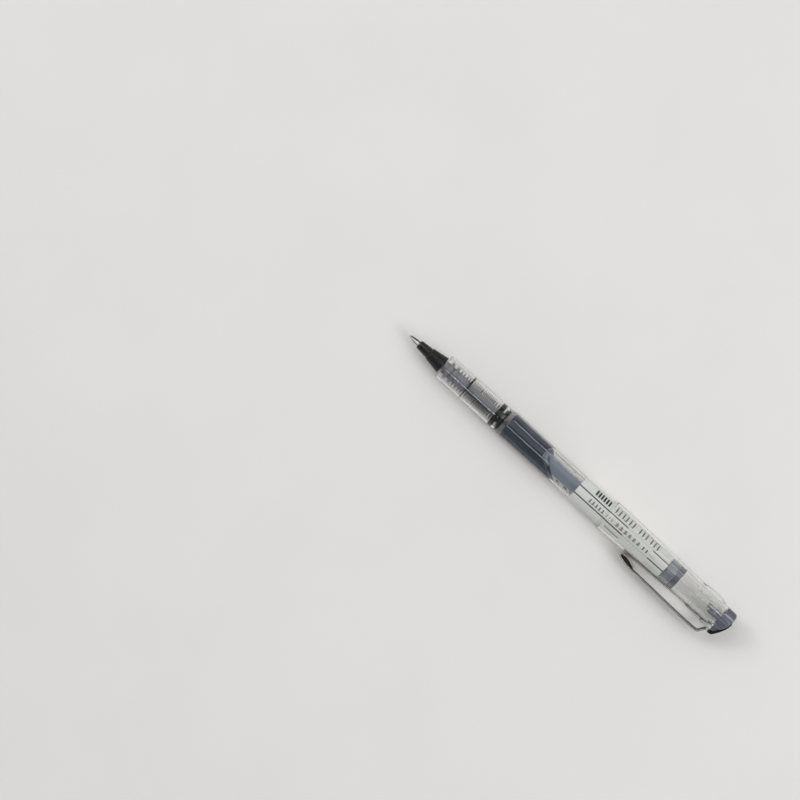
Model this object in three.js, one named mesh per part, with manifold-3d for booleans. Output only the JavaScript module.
// Liquid-ink roller-ball pen with its cap posted on the tail.
//
// Lengths are in millimetres. The pen lies on a table: its axis is along +X with the writing point
// towards -X, +Z is up, and the clip is on the -Y side. Inside the group every piece is drawn in
// "pen" coordinates, where x is the distance from the tip of the ball and the axis is y = z = 0.
// "Front" is towards the ball. The group then moves the pen so that the origin is under the
// middle of its bounding box.
import * as THREE from "three";
import { mergeVertices } from "three/addons/utils/BufferGeometryUtils.js";
import Module from "manifold-3d";

// ---------------------------------------------------------------- driving dimensions
const FACETS = 32; // round the large turned parts
const FACETS_MID = 20; // round the tip holder, the nose and the inner cap
const FACETS_FINE = 14; // round the collector and the steel point
const FACETS_ROD = 12; // round the feed rod

// Gaps between neighbouring pieces
const FIT_GAP = 0.06; // radial, round the feed rod, the neck and the housing's spigot
const SLIDE_GAP = 0.04; // radial, round the shank, the core, the collars and the tail plug
const STEP_GAP = 0.05; // lengthwise, at steps inside a joint
const END_GAP = 0.1; // lengthwise, between end faces

const BALL_R = 0.25; // 0.5 mm ball
const POINT_R = 0.93; // steel shank
const POINT_CONE_END = 3.0;
const POINT_END = 7.5;
const HOLDER_START = 4.63; // front face of the black tip holder
const NOSE_START = 9.8; // step where the holder meets the nose cone
const NOSE_END = 16.3;
const NOSE_BASE_R = 3.39;
const NECK_R = 1.6; // holder's spigot and collector's neck, inside the nose cone
const NOSE_BORE_R = NECK_R + FIT_GAP;

const FEED_R = 0.6; // capillary feed rod
const FEED_BORE_R = FEED_R + FIT_GAP;

const SECTION_START = NOSE_END + END_GAP; // clear front housing
const SECTION_WALL_END = 17.0; // its thin front end wall
const SECTION_BORE_R = 4.15;
const SPIGOT_START = 45.85; // where the housing plugs into the ink barrel
const SPIGOT_END = 46.42;
const SPIGOT_R = 4.6;

const FIN_R = 3.5; // collector fins
const COLLAR_R = SECTION_BORE_R - SLIDE_GAP; // baffle and collars that reach the bore
const CORE_FRONT_R = 2.33;
const CORE_BACK_R = 1.7;
const CORE_STEP = 27.8; // where the collector's core gets thinner
const COLLECTOR_END = 41.9;

const CHAMBER_WALL = { start: 46.55, end: 47.9 }; // front end wall of the ink chamber
const CHAMBER_R_FRONT = 4.52;
const CHAMBER_R_TAIL = 3.86;
const BARREL_END = 129.25;
const BARREL_MAX_R = 5.43;
const BARREL_SOCKET_R = SPIGOT_R + FIT_GAP;

const INK_GAP = 0.03; // ink surface to chamber wall
const INK_FULL_END = 66.0; // the chamber is full of ink up to here
const POOL_END = 93.0; // the shallow pool ends here
const POOL_DEPTH = 0.8;
const POOL_DEPTH_AT = 80; // station where the pool has that depth

const LABEL = { start: 82.1, end: 125.3, gap: 0.02, film: 0.08 };

const FLANGE = { start: BARREL_END + END_GAP, end: 132.2, radius: 4.61 }; // of the tail plug

const CAP_START = 95.6; // lip of the posted cap
const CAP_END = 152.3;
const CAP_LIP_R = 6.2;
const CAP_BACK_R = 3.92; // hole in the cap's end ring
const CAP_PLUG_R = CAP_BACK_R - 0.08; // inner cap and crown inside that hole
const CAP_TURN = THREE.MathUtils.degToRad(7.5); // how far the cap is turned on the tail

const CROWN_START = CAP_END + END_GAP;
const CROWN_END = 157.0;
const CROWN_SIDE_Y = -5.72; // clip side of the crown's overhang
const CROWN_LIP_W = 4.6; // width of the crown's overhang and of the strip over it

const TONGUE_W = 2.06; // snap tongues of the crown plug
const TONGUE_START = 146.7;
const TONGUE_END = 152.6; // inside the crown
const TONGUE_INSET = 0.12; // tongue's face below the cap's surface
const SLOT_GAP = 0.07; // tongue to each side of its slot

const CLIP_W = 4.8; // clip width at its root
const CLIP_END_W = 4.2; // and at its free end
const CLIP_T = 0.55; // sheet thickness
const LUG_START = 147.5;
const LUG_Y = -5.93; // outer face of the lug that holds the clip
const LUG_W = 5.2;

const OVERALL = 157.2;
const CLIP_REACH = 9.89; // outermost point of the clip from the pen axis

// ---------------------------------------------------------------- geometry helpers
// Positions only, shared vertices merged, triangles without area dropped, faces pointing out.
function tidy(geometry) {
  const bare = geometry.clone();
  bare.deleteAttribute("normal");
  bare.deleteAttribute("uv");
  const merged = mergeVertices(bare, 1e-4);
  const positions = merged.attributes.position.array;
  const corners = merged.index.array;
  const corner = (index) => new THREE.Vector3().fromArray(positions, index * 3);
  const kept = [];
  let volume = 0;
  for (let i = 0; i < corners.length; i += 3) {
    const [first, second, third] = corners.slice(i, i + 3);
    if (first === second || second === third || first === third) continue;
    kept.push(first, second, third);
    volume += corner(first).dot(corner(second).cross(corner(third))) / 6;
  }
  if (volume < 0) {
    for (let i = 0; i < kept.length; i += 3) {
      [kept[i + 1], kept[i + 2]] = [kept[i + 2], kept[i + 1]];
    }
  }
  const result = new THREE.BufferGeometry();
  result.setAttribute("position", new THREE.BufferAttribute(new Float32Array(positions), 3));
  result.setIndex(kept);
  return result;
}

// A turned part about the pen axis. The profile is a list of [x, radius]; it starts and ends on
// the axis, or is closed on itself when ring is true.
function turned(profile, facets, ring = false) {
  const points = profile.map(([x, radius]) => new THREE.Vector2(radius, x));
  if (ring) points.push(points[0].clone());
  const geometry = new THREE.LatheGeometry(points, facets);
  geometry.rotateZ(-Math.PI / 2);
  return tidy(geometry);
}

const turnedRing = (profile, facets) => turned(profile, facets, true);

function extruded(outline, depth) {
  const shape = new THREE.Shape(outline.map(([x, y]) => new THREE.Vector2(x, y)));
  return new THREE.ExtrudeGeometry(shape, { depth, bevelEnabled: false });
}

// A flat outline in the XY plane given a thickness along Z, centred on z = 0.
function plateXY(outline, width) {
  const geometry = extruded(outline, width);
  geometry.translate(0, 0, -width / 2);
  return tidy(geometry);
}

// An outline in the XZ plane given a thickness along Y.
function plateXZ(outline, [yMin, yMax]) {
  const geometry = extruded(outline, yMax - yMin);
  geometry.rotateX(Math.PI / 2); // (x, z, depth) becomes (x, -depth, z)
  geometry.translate(0, yMax, 0);
  return tidy(geometry);
}

// A box from its [min, max] span along each axis.
function box(...spans) {
  const sizes = spans.map(([min, max]) => max - min);
  const middles = spans.map(([min, max]) => (min + max) / 2);
  const geometry = new THREE.BoxGeometry(...sizes);
  geometry.translate(...middles);
  return tidy(geometry);
}

const centred = (width) => [-width / 2, width / 2];

const wasm = await Module();
wasm.setup();

function solid(geometry) {
  return new wasm.Manifold(
    new wasm.Mesh({
      numProp: 3,
      vertProperties: geometry.attributes.position.array,
      triVerts: new Uint32Array(geometry.index.array),
    }),
  );
}

function geometryOf(manifold) {
  const { vertProperties, triVerts } = manifold.getMesh();
  const geometry = new THREE.BufferGeometry();
  geometry.setAttribute("position", new THREE.BufferAttribute(vertProperties, 3));
  geometry.setIndex(Array.from(triVerts));
  return tidy(geometry);
}

// Straight-line interpolation in a table of [x, radius].
function along(table, x) {
  for (let i = 1; i < table.length; i++) {
    const [x0, radius0] = table[i - 1];
    const [x1, radius1] = table[i];
    if (x <= x1) return radius0 + ((radius1 - radius0) * (x - x0)) / (x1 - x0);
  }
  return table[table.length - 1][1];
}

// ---------------------------------------------------------------- point and nose
function writingBall() {
  const geometry = new THREE.SphereGeometry(BALL_R, 12, 8);
  geometry.rotateX(Math.PI / 2);
  geometry.translate(BALL_R, 0, 0);
  return tidy(geometry);
}

// Cone and shank with the ball seat, the narrow ink channel and the socket for the feed rod.
function writingPoint() {
  const channelR = 0.13;
  const profile = [
    [0.17, 0.31], [0.36, 0.37], [POINT_CONE_END, POINT_R], [POINT_END, POINT_R],
    [POINT_END, FEED_BORE_R], [2.75, FEED_BORE_R], [2.4, channelR], [0.53, channelR],
    [0.47, 0.16], [0.4, 0.228], [0.25, 0.275], [0.17, 0.268],
  ];
  return turnedRing(profile, FACETS_FINE);
}

// A rounded front, a gentle taper, and a spigot that plugs into the nose cone.
function tipHolder() {
  const socketR = POINT_R + SLIDE_GAP;
  const socketEnd = POINT_END + 0.1;
  const shoulder = NOSE_START - STEP_GAP;
  const spigotEnd = 13.8;
  const profile = [
    [HOLDER_START, socketR], [HOLDER_START, 1.4], [4.75, 1.56], [5.05, 1.7], [9.45, 2.1],
    [shoulder, 2.06], [shoulder, NECK_R], [spigotEnd, NECK_R],
    [spigotEnd, FEED_BORE_R], [socketEnd, FEED_BORE_R], [socketEnd, socketR],
  ];
  return turnedRing(profile, FACETS_MID);
}

// Open through the middle, pressed from behind onto the collector's neck.
function noseCone() {
  const edge = 0.12; // length of the broken edge at each end
  const profile = [
    [NOSE_START, NOSE_BORE_R], [NOSE_START, 2.26], [NOSE_START + edge, 2.34],
    [NOSE_END - edge, NOSE_BASE_R - 0.01], [NOSE_END, NOSE_BASE_R - 0.1],
    [NOSE_END, NOSE_BORE_R],
  ];
  return turnedRing(profile, FACETS_MID);
}

// ---------------------------------------------------------------- collector and feed
const COMB = { start: 34.78, pitch: 0.635, count: 8, thickness: 0.3 };

// [middle x, thickness, radius if not FIN_R], from front to back: two coarse fins, thin ones
// with the baffle among them, then the fine comb.
const FINS = [
  [19.07, 1.27], [21.5, 1.09],
  [23.24, 0.3], [24.6, 0.3], [26.06, 0.3], [27.15, 0.3],
  [28.24, 0.73, COLLAR_R],
  [29.33, 0.3], [30.1, 0.3], [30.87, 0.3], [31.6, 0.3], [32.3, 0.3], [33.2, 0.55], [34.1, 0.32],
  ...Array.from({ length: COMB.count }, (_, i) => [COMB.start + COMB.pitch * i, COMB.thickness]),
  [40.1, 0.32], [41.3, 0.38],
];

function collectorProfile() {
  const neckStart = 14.2;
  const neckEnd = NOSE_END + STEP_GAP;
  const coreRadius = (x) => (x < CORE_STEP ? CORE_FRONT_R : CORE_BACK_R);
  const profile = [
    [neckStart, FEED_BORE_R], [neckStart, NECK_R], [neckEnd, NECK_R], [neckEnd, CORE_FRONT_R],
  ];
  for (const [middle, thickness, radius = FIN_R] of FINS) {
    const front = middle - thickness / 2;
    const back = middle + thickness / 2;
    profile.push([front, coreRadius(front)], [front, radius]);
    profile.push([back, radius], [back, coreRadius(back)]);
  }
  profile.push([COLLECTOR_END, CORE_BACK_R], [COLLECTOR_END, FEED_BORE_R]);
  return profile;
}

// The fins are split along the underside by the air-return slot.
function collector() {
  const slot = box([20.3, 41.0], centred(0.7), [-5, -1.95]);
  return geometryOf(
    solid(turnedRing(collectorProfile(), FACETS_FINE)).subtract(solid(slot)),
  );
}

// Plug behind the collector: two sealing collars and a thin rib on one sleeve.
function collectorPlug() {
  const start = COLLECTOR_END + END_GAP;
  const end = 46.3;
  const edgeR = 3.98; // collars at their broken edges
  const ribR = 3.5;
  const profile = [
    [start, FEED_BORE_R], [start, edgeR],
    [42.12, COLLAR_R], [43.74, COLLAR_R], [43.86, edgeR], [43.86, CORE_FRONT_R],
    [44.6, CORE_FRONT_R], [44.6, ribR], [44.8, ribR], [44.8, CORE_FRONT_R],
    [45.1, CORE_FRONT_R], [45.1, edgeR], [45.2, COLLAR_R], [46.2, COLLAR_R],
    [end, edgeR], [end, FEED_BORE_R],
  ];
  return turnedRing(profile, FACETS);
}

function feedRod() {
  const start = 2.8;
  const end = 49.5;
  const chamfer = 0.1; // radial
  const profile = [
    [start, 0], [start, FEED_R - chamfer], [start + 0.2, FEED_R],
    [end - 0.2, FEED_R], [end, FEED_R - chamfer], [end, 0],
  ];
  return turned(profile, FACETS_ROD);
}

// ---------------------------------------------------------------- barrel
// Clear front housing, closed in front by a thin end wall round the collector's core.
function sectionBarrel() {
  const wallHoleR = CORE_FRONT_R + SLIDE_GAP;
  const shoulder = SPIGOT_START - STEP_GAP;
  const profile = [
    [SECTION_START, wallHoleR], [SECTION_START, 4.82], [SECTION_START + 0.12, 4.93],
    [22, 4.95], [37, 5.03], [shoulder, 5.07], [shoulder, SPIGOT_R],
    [SPIGOT_END, SPIGOT_R], [SPIGOT_END, SECTION_BORE_R],
    [SECTION_WALL_END, SECTION_BORE_R], [SECTION_WALL_END, wallHoleR],
  ];
  return turnedRing(profile, FACETS);
}

// Outside of the ink barrel as [x, radius]: shoulder, long gentle taper, then the tail.
const BARREL_OUTER = [
  [SPIGOT_START, 5.1], [46.6, 5.19], [47.3, 5.36], [48.1, BARREL_MAX_R],
  [54, 5.42], [72.6, 5.25], [86, 5.14], [95, 5.08],
  [110, 4.9], [125, 4.7], [BARREL_END - 0.1, 4.65],
];

// Bore of the ink chamber as [x, radius].
const CHAMBER_BORE = [
  [CHAMBER_WALL.end, CHAMBER_R_FRONT],
  [BARREL_END, CHAMBER_R_TAIL],
];

function inkBarrel() {
  const feedHoleR = 1.0;
  const profile = [
    [SPIGOT_START, BARREL_SOCKET_R],
    ...BARREL_OUTER,
    [BARREL_END, 4.55],
    ...[...CHAMBER_BORE].reverse(),
    [CHAMBER_WALL.end, feedHoleR], [CHAMBER_WALL.start, feedHoleR],
    [CHAMBER_WALL.start, BARREL_SOCKET_R],
  ];
  return turnedRing(profile, FACETS);
}

// Printed film, one turn round the barrel.
function barrelLabel() {
  const stations = [LABEL.start, 86, 95, 110, LABEL.end];
  const inside = stations.map((x) => [x, along(BARREL_OUTER, x) + LABEL.gap]);
  const outside = inside.map(([x, radius]) => [x, radius + LABEL.film]);
  return turnedRing([...outside, ...inside.reverse()], FACETS);
}

// Plug that closes the chamber: a hollow spigot in the bore and a flange behind it.
function tailPlug() {
  const spigotStart = 125.4;
  const spigotR = CHAMBER_R_TAIL - SLIDE_GAP;
  const floor = 130.9; // back of the hollow
  const profile = [
    [spigotStart, 3.0], [spigotStart, 3.72], [125.7, spigotR], [FLANGE.start - 0.08, spigotR],
    [FLANGE.start, 4.5], [FLANGE.start + 0.1, FLANGE.radius], [FLANGE.end - 0.35, FLANGE.radius],
    [FLANGE.end - 0.08, 4.45], [FLANGE.end, 4.2], [FLANGE.end, 0],
    [floor, 0], [floor, 2.8],
  ];
  return turnedRing(profile, FACETS);
}

// ---------------------------------------------------------------- ink
// A full slug behind the chamber's front wall, with a pocket round the feed rod, joined to a
// shallow pool that lies along the bottom of the chamber.
function inkCharge() {
  const inkRadius = (x) => along(CHAMBER_BORE, x) - INK_GAP;
  const start = CHAMBER_WALL.end + STEP_GAP;
  const pocketEnd = 49.6;
  const slugProfile = [
    [pocketEnd, 0], [pocketEnd, FEED_BORE_R], [start, FEED_BORE_R], [start, inkRadius(start)],
    [INK_FULL_END, inkRadius(INK_FULL_END)], [INK_FULL_END, 0],
  ];
  const poolStart = INK_FULL_END - 1; // overlaps the slug
  const poolProfile = [
    [poolStart, 0], [poolStart, inkRadius(poolStart)],
    [POOL_END, inkRadius(POOL_END)], [POOL_END, 0],
  ];
  const poolTop = -(inkRadius(POOL_DEPTH_AT) - POOL_DEPTH);
  const belowPoolTop = box([60, POOL_END + 1], [-6, 6], [-6, poolTop]);
  const pool = solid(turned(poolProfile, FACETS)).intersect(solid(belowPoolTop));
  return geometryOf(solid(turned(slugProfile, FACETS)).add(pool));
}

// ---------------------------------------------------------------- cap
// Outside of the cap as [x, radius], from the lip back.
const CAP_OUTER = [
  [CAP_START, 5.74], [CAP_START + 0.6, 6.1], [98.5, CAP_LIP_R], [105, CAP_LIP_R],
  [110.8, 6.07], [120.2, 5.81], [127.1, 5.63], [136.2, 5.39], [139.7, 5.36],
  [140.3, 5.6], [146.4, 5.74], [148.0, 5.68], [149.2, 5.42], [150.2, 5.08],
  [151.2, 4.86], [CAP_END - 0.1, 4.76],
];

// Bore of the cap as [x, radius], from the end ring to the lip.
const CAP_INNER = [
  [CAP_END, CAP_BACK_R], [149.6, CAP_BACK_R], [149.6, 4.66], [139, 4.7], [127, 4.84],
  [110, 5.12], [100, 5.28], [CAP_START + 0.4, 5.36], [CAP_START, 5.6],
];

// The lug that holds the clip's root, cut back so that it stays outside the bores.
function clipLug() {
  const block = box([LUG_START, CAP_END], [LUG_Y, -3.0], centred(LUG_W));
  const cutterProfile = [
    [147, 0], [147, 5.2], [150.3, 4.5], [CAP_END + 1, 4.4], [CAP_END + 1, 0],
  ];
  return solid(block).subtract(solid(turned(cutterProfile, FACETS)));
}

// Tube and lug, with a slot above and below the axis for the crown's tongues.
function capBody() {
  const tube = turnedRing([...CAP_OUTER, [CAP_END, 4.66], ...CAP_INNER], FACETS);
  let body = solid(tube).add(clipLug());
  for (const heights of [[3.5, 8], [-8, -3.5]]) {
    const slot = box(
      [TONGUE_START - 0.1, CAP_END + 1],
      centred(TONGUE_W + 2 * SLOT_GAP),
      heights,
    );
    body = body.subtract(solid(slot));
  }
  return geometryOf(body);
}

// Sealing cup inside the cap: the nose cone enters it when the pen is capped.
function innerCap() {
  const profile = [
    [151.6, 0], [151.6, 3.6], [151.4, 3.82], [149.4, CAP_PLUG_R], [149.4, 4.3],
    [142.2, 4.38], [142.0, 4.58], [140.5, 4.58], [140.4, 4.5], [140.4, 3.5],
    [141.4, 2.46], [142.6, 2.42], [143.2, 2.7], [150.2, 2.5], [150.9, 2.2], [150.9, 0],
  ];
  return turned(profile, FACETS_MID);
}

// ---------------------------------------------------------------- crown
// Crown seen from above, as [x, y]: its end is slanted and slightly domed, and it leans out over
// the clip side.
const CROWN_OUTLINE = [
  [151.7, 6], [154.6, 5.2], [156.1, 4.35], [156.65, 3.6], [156.85, 2.6], [156.75, 0.85],
  [156.0, -1.95], [155.0, -4.3], [153.85, CROWN_SIDE_Y], [CROWN_START, CROWN_SIDE_Y],
  [151.7, CROWN_SIDE_Y],
];

// Round head with its spigot, and the overhang on the clip side, trimmed to the outline.
function crownHead() {
  const roundProfile = [
    [151.8, 0], [151.8, 3.7], [152.0, CAP_PLUG_R], [CROWN_START, CAP_PLUG_R],
    [CROWN_START, 4.64], [152.5, 4.73], [155.0, 4.73], [155.8, 4.6], [156.4, 4.25],
    [156.8, 3.7], [CROWN_END, 2.9], [CROWN_END, 0],
  ];
  const overhang = box([CROWN_START, CROWN_END], [CROWN_SIDE_Y, 0], centred(CROWN_LIP_W));
  return solid(turned(roundProfile, FACETS))
    .add(solid(overhang))
    .intersect(solid(plateXY(CROWN_OUTLINE, 14)));
}

// Two tongues that fill the cap's slots: a ring cut down to a bar across the axis.
function crownTongues() {
  const outside = [TONGUE_START, 148.0, 149.2, 150.2, 151.2].map((x) => [
    x,
    along(CAP_OUTER, x) - TONGUE_INSET,
  ]);
  const ringProfile = [
    [TONGUE_START, 4.75],
    ...outside,
    [TONGUE_END, 4.64], [TONGUE_END, 4.0], [149.9, 4.0], [149.3, 4.75],
  ];
  const bar = box([TONGUE_START, TONGUE_END], centred(TONGUE_W), [-7, 7]);
  return solid(turnedRing(ringProfile, FACETS)).intersect(solid(bar));
}

const crownPlug = () => geometryOf(crownHead().add(crownTongues()));

// Black strip over the end of the crown, hooked round its clip side; outline as [x, y].
function crownInlay() {
  const outline = [
    [156.95, 1.05], [OVERALL, 0.95], [156.68, -2.2], [155.6, -4.75], [154.35, -6.35],
    [153.6, -6.72], [CROWN_START, -6.85], [CROWN_START, -5.86], [153.75, -5.86],
    [155.15, -4.45], [156.2, -2.0],
  ];
  return plateXY(outline, CROWN_LIP_W);
}

// ---------------------------------------------------------------- clip
// One bent strip of sheet steel. Middle line of the strip as [x, y], from the root arm round the
// corner, along the straight bar, then folded back on itself so that the fold grips the cap.
const CLIP_PATH = [
  [151.36, -6.2], [149.85, -8.46], [149.6, -8.86], [149.28, -9.18], [148.6, -9.4],
  [119.9, -8.96], [116.6, -8.9], [114.4, -8.74], [112.2, -8.36], [110.9, -8.02],
  [110.3, -7.72], [110.05, -7.3], [110.2, -6.92], [110.75, -6.6], [111.6, -6.47],
  [113.0, -6.52], [114.4, -6.9], [115.8, -7.42], [117.2, -8.0],
];

// One side of the clip's plan as [x, z], from the root to the rounded free end.
const CLIP_HALF_PLAN = [
  [152.5, CLIP_W / 2], [147, CLIP_W / 2], [112.0, CLIP_END_W / 2],
  [110.7, CLIP_END_W / 2 - 0.35], [109.9, CLIP_END_W / 2 - 1.0], [109.5, 0.4],
];

// Outline of a strip of the given thickness along an open path, with mitred corners.
function stripOutline(path, thickness) {
  const last = path.length - 1;
  // Direction of the path's segment that starts at the given point, held within the path.
  const direction = (index) => {
    const start = THREE.MathUtils.clamp(index, 0, last - 1);
    const [x0, y0] = path[start];
    const [x1, y1] = path[start + 1];
    return new THREE.Vector2(x1 - x0, y1 - y0).normalize();
  };
  const side = (sign) =>
    path.map(([x, y], i) => {
      const before = direction(i - 1);
      const mitre = before.clone().add(direction(i)).normalize();
      const reach = (sign * thickness) / 2 / mitre.dot(before);
      return [x - mitre.y * reach, y + mitre.x * reach];
    });
  return [...side(1), ...side(-1).reverse()];
}

// The bent strip, trimmed to its tapering plan.
function clip() {
  const mirrored = CLIP_HALF_PLAN.map(([x, z]) => [x, -z]);
  const plan = [mirrored[0], ...CLIP_HALF_PLAN, ...mirrored.slice(1).reverse()];
  const strip = plateXY(stripOutline(CLIP_PATH, CLIP_T), CLIP_W + 1);
  return geometryOf(solid(strip).intersect(solid(plateXZ(plan, [-11, -5]))));
}

// ---------------------------------------------------------------- materials
const CLEAR = { roughness: 0.06, opacity: 0.25 }; // clear plastic

// By mesh name. Metalness is 0 and opacity 1 where not given.
const FINISHES = {
  writing_ball: { color: 0xb9bcc0, roughness: 0.12, metalness: 1 },
  writing_point: { color: 0xbfbdb8, roughness: 0.22, metalness: 1 },
  tip_holder: { color: 0x1d1e20, roughness: 0.35 },
  nose_cone: { color: 0x1a1b1d, roughness: 0.5 },
  feed_rod: { color: 0x3a3d46, roughness: 0.8 },
  collector: { color: 0x6f727c, roughness: 0.45 },
  collector_plug: { color: 0x202226, roughness: 0.5 },
  section_barrel: { color: 0xe6e8e6, ...CLEAR },
  ink_barrel: { color: 0xe6e8e6, ...CLEAR },
  ink_charge: { color: 0x1c1f2b, roughness: 0.15 },
  barrel_label: { color: 0xe9ebe8, roughness: 0.4, opacity: 0.6 },
  tail_plug: { color: 0x4b4f5a, roughness: 0.25 },
  cap_body: { color: 0xe4e6e4, ...CLEAR },
  inner_cap: { color: 0xe9ebec, roughness: 0.35, opacity: 0.5 },
  crown_plug: { color: 0x4a4e59, roughness: 0.2 },
  crown_inlay: { color: 0x121214, roughness: 0.3 },
  clip: { color: 0xb4b0aa, roughness: 0.25, metalness: 1 },
};

function materialFor(name) {
  const { color, roughness, metalness = 0, opacity = 1 } = FINISHES[name];
  const transparent = opacity < 1;
  return new THREE.MeshStandardMaterial({ color, roughness, metalness, transparent, opacity });
}

// ---------------------------------------------------------------- assembly
function part(name, geometry) {
  geometry.computeVertexNormals();
  const mesh = new THREE.Mesh(geometry, materialFor(name));
  mesh.name = name;
  return mesh;
}

const pen = new THREE.Group();
pen.add(
  part("writing_ball", writingBall()),
  part("writing_point", writingPoint()),
  part("tip_holder", tipHolder()),
  part("nose_cone", noseCone()),
  part("feed_rod", feedRod()),
  part("collector", collector()),
  part("collector_plug", collectorPlug()),
  part("section_barrel", sectionBarrel()),
  part("ink_barrel", inkBarrel()),
  part("ink_charge", inkCharge()),
  part("barrel_label", barrelLabel()),
  part("tail_plug", tailPlug()),
);

const cap = new THREE.Group();
cap.rotation.x = CAP_TURN;
cap.add(
  part("cap_body", capBody()),
  part("inner_cap", innerCap()),
  part("crown_plug", crownPlug()),
  part("crown_inlay", crownInlay()),
  part("clip", clip()),
);
pen.add(cap);

// Origin under the middle of the pen's bounding box, with the table at z = 0. Across the pen the
// box runs from the clip at -Y to the cap's lip at +Y.
pen.position.set(-OVERALL / 2, (CLIP_REACH - CAP_LIP_R) / 2, CAP_LIP_R);

export default pen;
